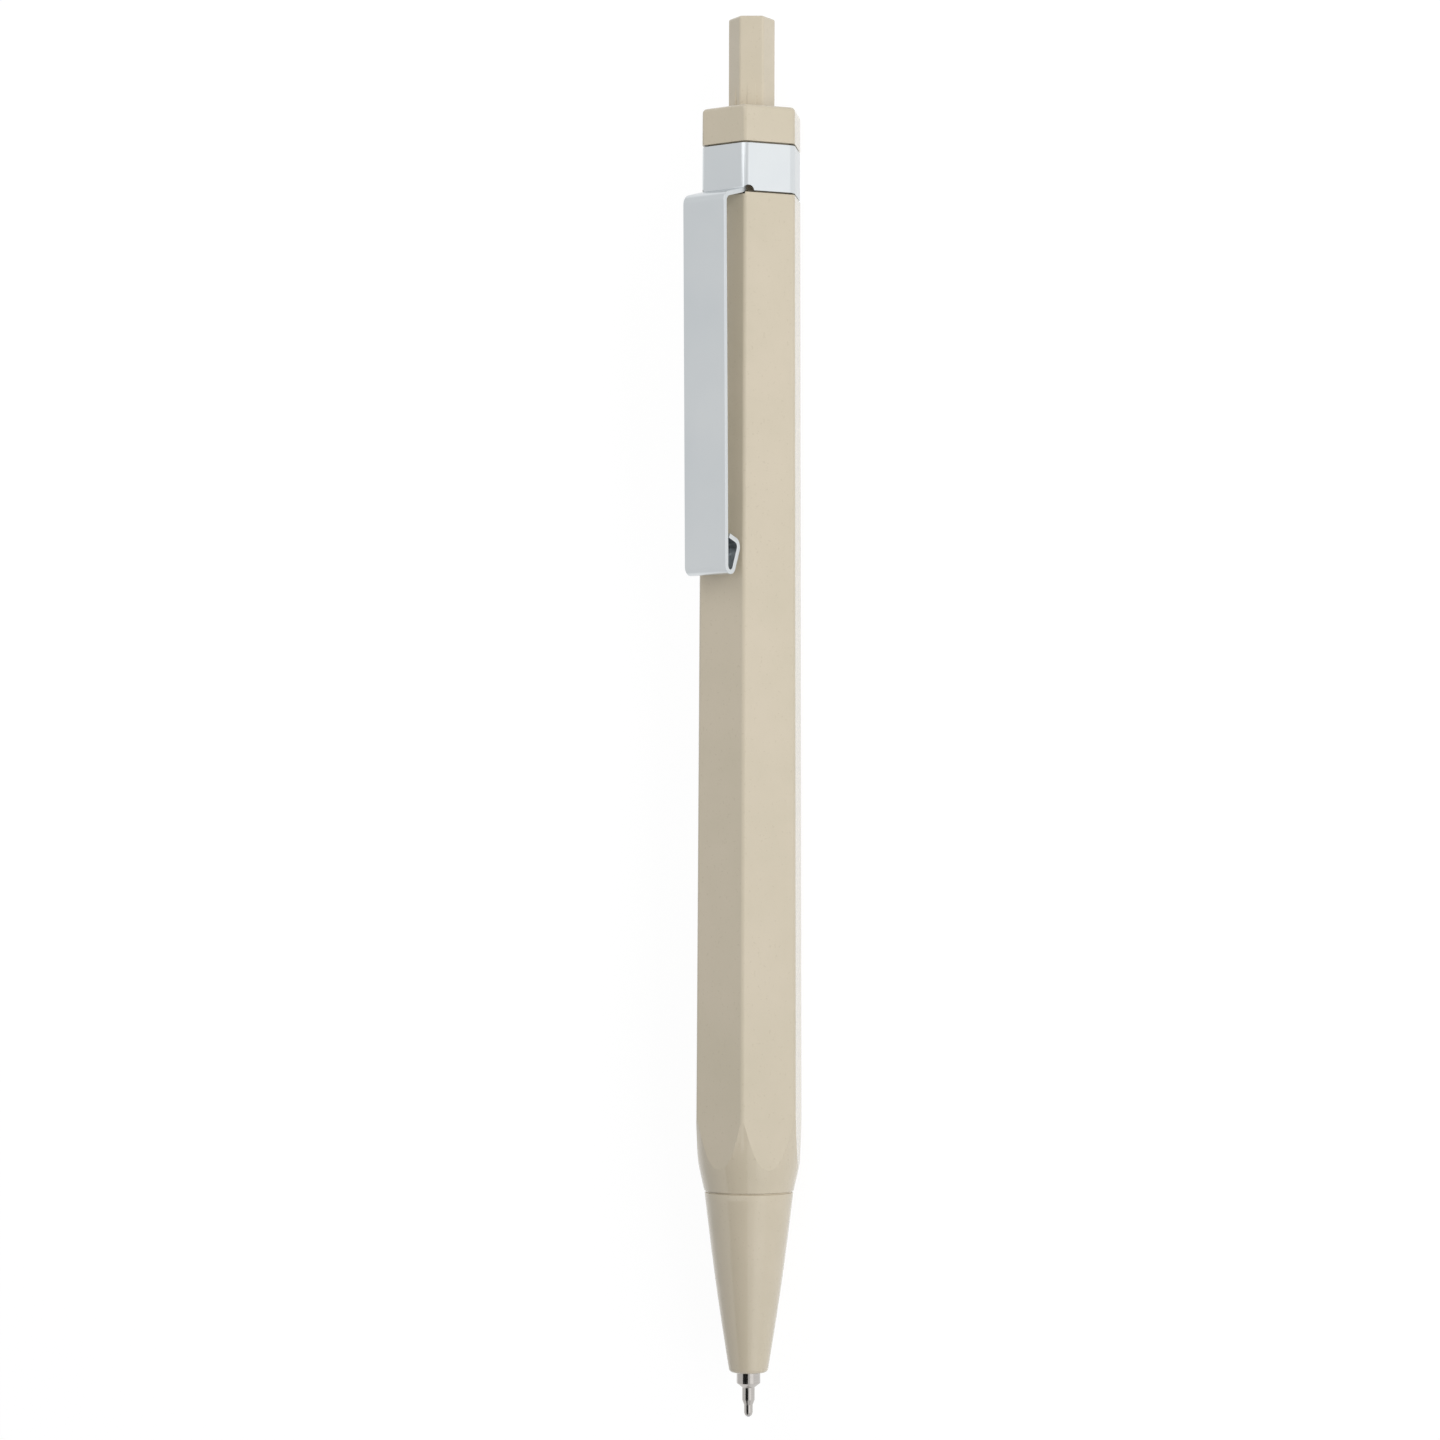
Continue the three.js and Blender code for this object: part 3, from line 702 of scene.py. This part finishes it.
def makeNose():
    values = {
        "endRadius": 1.98 * mm, "endRounding": 0.4 * mm, "roundingSteps": 5, "seamRadius": 4.44 * mm,
        "mouthRadius": 1.32 * mm, "bulge": 0.12 * mm, "bulgeSteps": 24, "registerRadius": 4.3 * mm,
        "registerGap": 0.02 * mm, "spigotRadius": 3.5 * mm, "springBore": 2.4 * mm, "ledge": 7.8 * mm,
        "guideRadius": 1.75 * mm, "guideLevel": 3.8 * mm, "edge": 0.05 * mm, "sides": 160,
    }
    mouth, endRadius, rounding = noseLow.x, values["endRadius"], values["endRounding"]
    registerTop = barrelLow.x - values["registerGap"]
    profile = [(mouth, values["mouthRadius"])]
    for step in range(values["roundingSteps"] + 1):
        at = math.radians(90 * step / values["roundingSteps"])
        profile.append((mouth + rounding * (1 - math.cos(at)), endRadius - rounding * (1 - math.sin(at))))
    sideFoot = profile[-1][0]
    for step in range(1, values["bulgeSteps"] + 1):
        share = step / values["bulgeSteps"]
        straight = endRadius + (values["seamRadius"] - endRadius) * share
        bulge = values["bulge"] * math.sin(share * math.pi)
        profile.append((sideFoot + (noseTop - sideFoot) * share, straight + bulge))
    profile += [
        (noseTop, values["registerRadius"]),
        (registerTop, values["registerRadius"]),
        (registerTop, values["spigotRadius"]),
        (noseHigh.x, values["spigotRadius"]),
        (noseHigh.x, values["springBore"]),
        (mouth + values["ledge"], values["springBore"]),
        (mouth + values["ledge"], values["guideRadius"]),
        (mouth + values["guideLevel"], values["guideRadius"]),
        (mouth + values["guideLevel"], values["mouthRadius"]),
    ]
    nose = addTurned("noseShell", profile, values["sides"])
    softenEdges(nose, values["edge"], angle=40)
    smoothFaces(nose, angle=30)
    finishPiece(nose, plastic, "casing", "shell_plastic", "nose_cone")


makeNose()


# Top cap

def makeCap():
    values = {
        "corner": 0.5 * mm, "cornerSteps": 8, "rim": 0.45 * mm, "rimSteps": 6, "foot": 0.06 * mm,
        "hole": 2.285 * mm, "holeCorner": 0.3 * mm, "holeSteps": 5, "holeTurn": math.radians(30),
        "neckInset": 0.7 * mm, "neckCorner": 0.45 * mm, "neckSteps": 4, "neckGap": 0.1 * mm,
        "plugRadius": 3.5 * mm, "over": 1 * mm,
    }
    cap = addHexagon(
        "capShell", capFoot, capTop, flatAt(capFoot), flatAt(capTop), values["corner"], values["cornerSteps"]
    )
    editMode(cap)
    pickRims(cap, capTop)
    bpy.ops.mesh.bevel(offset=values["rim"], segments=values["rimSteps"], affect="EDGES")
    pickRims(cap, capFoot)
    bpy.ops.mesh.bevel(offset=values["foot"], segments=2, affect="EDGES")
    objectMode()
    # the neck that the band sits on, the plug in the barrel and the button's hole through both
    over, hole = values["over"], values["hole"]
    neckFoot, neckTop = barrelTop + values["neckGap"], capFoot + over
    neckHalf = flatAt(bandFoot) - values["neckInset"]
    combine(cap, addHexagon(
        "neck", neckFoot, neckTop, neckHalf, neckHalf, values["neckCorner"], values["neckSteps"],
    ), "UNION")
    combine(cap, addRound("plug", capLow.x, neckTop, values["plugRadius"], values["plugRadius"]), "UNION")
    combine(cap, addHexagon(
        "hole", capLow.x - over, capTop + over, hole, hole,
        values["holeCorner"], values["holeSteps"], values["holeTurn"],
    ), "DIFFERENCE")
    smoothFaces(cap, angle=24)
    finishPiece(cap, plastic, "casing", "shell_plastic", "top_cap")
    return cap


cap = makeCap()


# Push button

def addRib(foot, half, turn):
    # a low rib on the upper side of the button that fades out above the cap, then turned to its own face
    values = {"width": 0.93 * mm, "height": 0.15 * mm, "out": 3.3 * mm, "edge": 0.12 * mm, "fall": 1.1}
    face, height = axisZ + half, values["height"]
    deselectAll()
    bpy.ops.mesh.primitive_cube_add(size=1, location=((foot + capTop) / 2, 0, face))
    rib = bpy.context.object
    rib.scale = (capTop - foot, values["width"], height * 2)
    settle(rib)
    editMode(rib)
    pickTopFace(rib)
    bpy.ops.mesh.extrude_region_move(TRANSFORM_OT_translate={"value": (values["out"], 0, 0)})
    pickVertices(rib, lambda co: co.x > capTop + values["out"] - touching and co.z > face)
    bpy.ops.transform.translate(value=(0, 0, -height * values["fall"]))
    pickEdges(rib, lambda a, b: abs(a.x - b.x) > mm and a.z > face - height / 2)
    bpy.ops.mesh.bevel(offset=values["edge"], segments=3, affect="EDGES")
    turnAboutPen(turn)
    objectMode()
    return rib


def makeButton():
    # the button sits a little turned in its hole
    values = {
        "half": 2.035 * mm, "corner": 0.3 * mm, "cornerSteps": 6, "rim": 0.27 * mm, "rimSteps": 5,
        "socketRadius": 1.3 * mm, "socketSides": 64, "roof": 1.5 * mm, "over": 1 * mm,
        "turn": math.radians(24), "faceTurn": math.radians(60),
    }
    foot, top, half, turn = buttonLow.x, buttonHigh.x, values["half"], values["turn"]
    button = addHexagon("buttonShell", foot, top, half, half, values["corner"], values["cornerSteps"], turn)
    editMode(button)
    pickRims(button, top)
    bpy.ops.mesh.bevel(offset=values["rim"], segments=values["rimSteps"], affect="EDGES")
    objectMode()
    for ribTurn in (turn, turn - values["faceTurn"]):
        combine(button, addRib(foot, half, ribTurn), "UNION")
    socketFoot, socketTop, radius = foot - values["over"], top - values["roof"], values["socketRadius"]
    socket = addRound("socket", socketFoot, socketTop, radius, radius, values["socketSides"])
    combine(button, socket, "DIFFERENCE")
    smoothFaces(button, angle=22)
    finishPiece(button, plastic, "button", "shell_plastic", "push_button")


makeButton()


# Clip: one bent sheet, band and arm together

clip = {
    "sheet": 0.5 * mm, "width": 5.1 * mm, "gapTop": 2.75 * mm, "gapFoot": 2.2 * mm, "reach": 38.3 * mm,
    "bandCorner": 0.95 * mm, "cornerSteps": 10, "creaseUp": 0.27 * mm,
    "innerBend": 0.35 * mm, "innerSteps": 7, "outerBend": 0.85 * mm, "outerSteps": 9,
    "shoulderSlope": math.radians(14.7), "armSteps": 24, "fold": 0.6 * mm, "foldSteps": 14,
    "bump": 0.75 * mm, "bumpSteps": 12, "bumpHeight": 2.5 * mm, "bumpClosing": 0.35, "bumpGap": 0.3 * mm,
    "endGap": 0.1 * mm, "edge": 0.07 * mm, "edgeSteps": 3, "rootLength": 0.5 * mm, "rootInset": 0.15 * mm,
    "notch": 0.55 * mm, "notchSides": 48, "notchTurn": math.radians(33.5),
    "pocketGap": 0.08 * mm, "pocketFloor": 3.2 * mm, "over": 1 * mm,
}


def arcAlong(centre, radius, start, end, steps):
    # (x, distance from the axis) points on an arc; angle 0 faces away from the pen, 90 degrees the button
    points = []
    for step in range(steps + 1):
        at = start + (end - start) * step / steps
        points.append(Vector((centre.x + radius * math.sin(at), centre.y + radius * math.cos(at))))
    return points


def clipLine():
    # mid-line of the bent sheet as (x, distance from the axis), from the band to the end of the bump
    half, right = clip["sheet"] / 2, math.pi / 2
    slope, innerBend, outerBend = clip["shoulderSlope"], clip["innerBend"], clip["outerBend"]
    # the bend out of the band
    wall = flatAt(bandFoot) - half
    crease = bandFoot + clip["creaseUp"]
    innerCentre = Vector((crease + (innerBend - half) * math.tan((right - slope) / 2), wall + innerBend))
    line = arcAlong(innerCentre, innerBend, 2 * right, 3 * right - slope, clip["innerSteps"])
    # the bend at the top of the shoulder
    bendStart = line[-1]
    armTopHeight = flatAt(bandFoot) + clip["gapTop"] + half
    run = armTopHeight - outerBend * (1 - math.sin(slope)) - bendStart.y
    bendEnd = bendStart + Vector((-run * math.tan(slope), run))
    outerCentre = Vector((bendEnd.x - outerBend * math.cos(slope), armTopHeight - outerBend))
    line += arcAlong(outerCentre, outerBend, right - slope, 0, clip["outerSteps"])
    # the straight arm down to the fold at its end
    foldLevel = bandFoot - clip["reach"] + half
    armFootHeight = flatAt(foldLevel) + clip["gapFoot"] + half
    fold = Vector((foldLevel + clip["fold"], armFootHeight - clip["fold"]))
    armTop, armFoot = line[-1], Vector((fold.x, armFootHeight))
    for step in range(1, clip["armSteps"]):
        line.append(armTop.lerp(armFoot, step / clip["armSteps"]))
    # round the fold, back up to the bump against the barrel, and out to the arm again
    bumpLevel = foldLevel + clip["bumpHeight"]
    bump = Vector((bumpLevel, flatAt(bumpLevel) + clip["bumpGap"] + half + clip["bump"]))
    between = bump - fold
    lean = math.atan2(between.x, between.y) - fullTurn
    tangent = lean + math.acos((clip["fold"] - clip["bump"]) / between.length)
    line += arcAlong(fold, clip["fold"], 0, tangent, clip["foldSteps"])
    closing = clip["bumpClosing"]
    line += arcAlong(bump, clip["bump"], tangent, closing - 3 * right, clip["bumpSteps"])
    end = line[-1]
    room = armFootHeight - half * (1 + math.sin(closing)) - clip["endGap"] - end.y
    line.append(Vector((end.x + room * math.tan(closing), end.y + room)))
    return line


def sideOf(line, shift):
    # a line beside the sheet's mid-line
    points = []
    for i, point in enumerate(line):
        before, after = line[max(i - 1, 0)], line[min(i + 1, len(line) - 1)]
        into = (point - before).normalized() if i else (after - point).normalized()
        out = (after - point).normalized() if i < len(line) - 1 else into
        along = (into + out).normalized()
        points.append(point + Vector((along.y, -along.x)) * (shift / along.dot(into)))
    return points


def notchCutter(side, radius, fromAxis):
    # round bar out through the band's foot, beside the clip
    notch = addRound("notch", fromAxis, shell["flatsAtNose"], radius, radius, clip["notchSides"])
    turn = Matrix.Rotation(side * clip["notchTurn"], 4, "X") @ Matrix.Rotation(-math.pi / 2, 4, "Y")
    notch.data.transform(Matrix.Translation((0, 0, -axisZ)))
    notch.data.transform(Matrix.Translation((bandFoot, 0, axisZ)) @ turn)
    return notch


def makeArm(line):
    sheet, inset = clip["sheet"], clip["rootInset"]
    outside, inside = sideOf(line, sheet / 2), sideOf(line, -sheet / 2)
    # the root lies within the band's wall
    wall, root = flatAt(bandFoot), line[0].x + clip["rootLength"]
    corners = [tuple(point) for point in outside + inside[::-1]]
    arm = addOutline("clipArm", [(root, wall - inset), *corners, (root, wall - sheet + inset)])
    editMode(arm)
    bpy.ops.mesh.select_all(action="SELECT")
    bpy.ops.transform.translate(value=(0, -clip["width"] / 2, 0))
    bpy.ops.mesh.extrude_region_move(TRANSFORM_OT_translate={"value": (0, clip["width"], 0)})
    bpy.ops.mesh.select_all(action="SELECT")
    bpy.ops.mesh.normals_make_consistent(inside=False)
    pickEdges(arm, lambda a, b: a.y * b.y > 0)
    bpy.ops.mesh.bevel(offset=clip["edge"], segments=clip["edgeSteps"], affect="EDGES", clamp_overlap=False)
    objectMode()
    return arm


def makeClip():
    line = clipLine()
    arm = makeArm(line)
    sheet, corner, steps = clip["sheet"], clip["bandCorner"], clip["cornerSteps"]
    band = addHexagon("clipSheet", bandFoot, bandTop, flatAt(bandFoot), flatAt(bandTop), corner, steps)
    holeFoot, holeTop = bandFoot - clip["over"], bandTop + clip["over"]
    combine(band, addHexagon(
        "bandHole", holeFoot, holeTop, flatAt(holeFoot) - sheet, flatAt(holeTop) - sheet,
        corner - sheet, steps,
    ), "DIFFERENCE")
    editMode(band)
    pickRims(band, bandFoot, bandTop)
    bpy.ops.mesh.bevel(offset=clip["edge"], segments=clip["edgeSteps"], affect="EDGES", clamp_overlap=False)
    objectMode()
    for side in (-1, 1):
        combine(band, notchCutter(side, clip["notch"], 0), "DIFFERENCE")
    combine(band, arm, "UNION")
    smoothFaces(band, angle=40)
    finishPiece(band, nickel, None, "clip_metal", "clip_band", "clip_arm")
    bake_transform(band)


def pocketCap():
    # the cap's neck is hollowed behind the band's two notches
    radius = clip["notch"] + clip["pocketGap"]
    for side in (-1, 1):
        combine(cap, notchCutter(side, radius, clip["pocketFloor"]), "DIFFERENCE")


makeClip()
pocketCap()


# Writing point and ball

def makePoint():
    # places are from the tip of the ball
    values = {
        "lip": 0.15 * mm, "lipInner": 0.285 * mm, "lipRadius": 0.33 * mm,
        "needleFoot": 0.45 * mm, "needleTop": 1.2 * mm, "needleRadius": 0.43 * mm,
        "neckFoot": 1.7 * mm, "neckTop": 2.93 * mm, "neckRadius": 0.625 * mm,
        "shoulder": 3.36 * mm, "radius": 1.18 * mm, "tubeGap": 0.1 * mm, "spigotRadius": 1.05 * mm,
        "inkBore": 0.2 * mm, "boreFoot": 0.67 * mm,
        "socketTop": 0.37 * mm, "socketFoot": 0.265 * mm, "socketRadius": 0.335 * mm,
        "edge": 0.04 * mm, "edgeSteps": 3, "sides": 96,
    }
    tip = ballLow.x
    collarTop, spigotTop = tubeFoot - tip - values["tubeGap"], pointTop - tip
    corners = [
        (values["lip"], values["lipInner"]),
        (values["lip"], values["lipRadius"]),
        (values["needleFoot"], values["needleRadius"]),
        (values["needleTop"], values["needleRadius"]),
        (values["neckFoot"], values["neckRadius"]),
        (values["neckTop"], values["neckRadius"]),
        (values["shoulder"], values["radius"]),
        (collarTop, values["radius"]),
        (collarTop, values["spigotRadius"]),
        (spigotTop, values["spigotRadius"]),
        (spigotTop, values["inkBore"]),
        (values["boreFoot"], values["inkBore"]),
        (values["socketTop"], values["socketRadius"]),
        (values["socketFoot"], values["socketRadius"]),
    ]
    point = addTurned("writingPoint", [(tip + x, radius) for x, radius in corners], values["sides"])
    softenEdges(point, values["edge"], angle=20, segments=values["edgeSteps"])
    smoothFaces(point, angle=35)
    finishPiece(point, pointMetal, "refill", "point_metal", "point_body")


def makeBall():
    deselectAll()
    radius = (ballHigh.z - ballLow.z) / 2
    middle = (ballLow.x + radius, 0, axisZ)
    bpy.ops.mesh.primitive_ico_sphere_add(subdivisions=4, radius=radius, location=middle)
    ball = bpy.context.object
    ball.name = "carbideBall"
    settle(ball)
    smoothFaces(ball, angle=60)
    finishPiece(ball, carbide, "refill", "ball_metal", "writing_ball")


makePoint()
makeBall()


# Return spring, from the ledge in the nose to the collar on the refill

def makeSpring():
    values = {"wire": 0.2 * mm, "wireSides": 12, "mean": 2.0 * mm, "turns": 12, "stepsPerTurn": 36}
    low, high, wire = springLow.x, springHigh.x, values["wire"]
    deselectAll()
    bpy.ops.mesh.primitive_circle_add(
        vertices=values["wireSides"], radius=wire, location=(0, 0, axisZ + values["mean"]),
        rotation=(math.pi / 2, 0, 0),
    )
    spring = bpy.context.object
    spring.name = "returnSpring"
    settle(spring)
    spring.data.transform(Matrix.Translation((0, 0, -axisZ)))
    applyModifier(
        spring, "SCREW", axis="X", angle=fullTurn, screw_offset=(high - low - 2 * wire) / values["turns"],
        iterations=values["turns"], steps=values["stepsPerTurn"], render_steps=values["stepsPerTurn"],
        use_smooth_shade=True, use_merge_vertices=False,
    )
    spring.data.transform(Matrix.Translation((low + wire, 0, axisZ)))
    # closes the wire's two ends
    editMode(spring)
    bpy.ops.mesh.select_all(action="DESELECT")
    bpy.ops.mesh.select_non_manifold(extend=False)
    bpy.ops.mesh.edge_face_add()
    bpy.ops.mesh.select_all(action="SELECT")
    bpy.ops.mesh.normals_make_consistent(inside=False)
    objectMode()
    finishPiece(spring, wireSteel, None, "spring_steel", "return_spring")
    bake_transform(spring)


makeSpring()


# Inner mouldings that the frame already shapes
innerMaterials = {
    "plunger": acetal, "cam_guide": acetal, "rotor": acetal, "spring_collar": acetal, "tail_plug": acetal,
    "refill_tube": tubePlastic, "ink_column": ink, "grease_plug": grease,
}
for node, material in innerMaterials.items():
    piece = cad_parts[node]
    piece.data.materials.clear()
    piece.data.materials.append(material)
print("Inner pieces finished")
